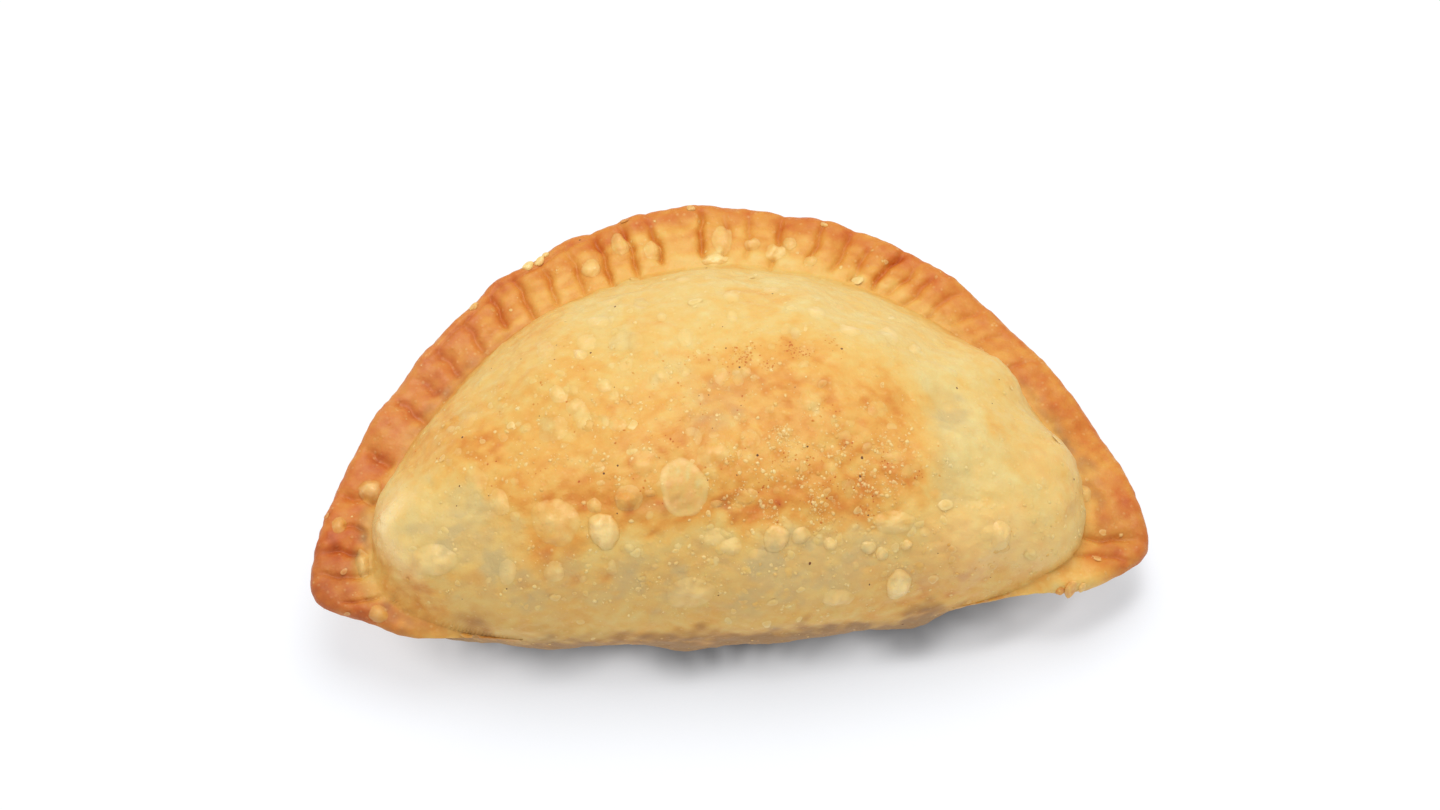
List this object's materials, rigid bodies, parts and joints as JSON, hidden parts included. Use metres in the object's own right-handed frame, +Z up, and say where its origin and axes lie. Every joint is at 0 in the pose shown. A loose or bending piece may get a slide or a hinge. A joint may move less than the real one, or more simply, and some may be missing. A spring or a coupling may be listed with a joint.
{
  "type": "half-moon samosa",
  "caption": "Fried half-moon pastry with a plump filled belly, a crimped browned rim along its round edge and raised blisters.",
  "frame": {"origin": "middle of the bounding box in plan, on the table", "axes": "+X along the fold, +Y from the fold to the crimped edge, +Z up"},
  "size_m": [0.1416, 0.0826, 0.0444],
  "materials": {
    "fried_crust": null
  },
  "bodies": {
    "root": {"samosa": "fried_crust"}
  },
  "joints": []
}
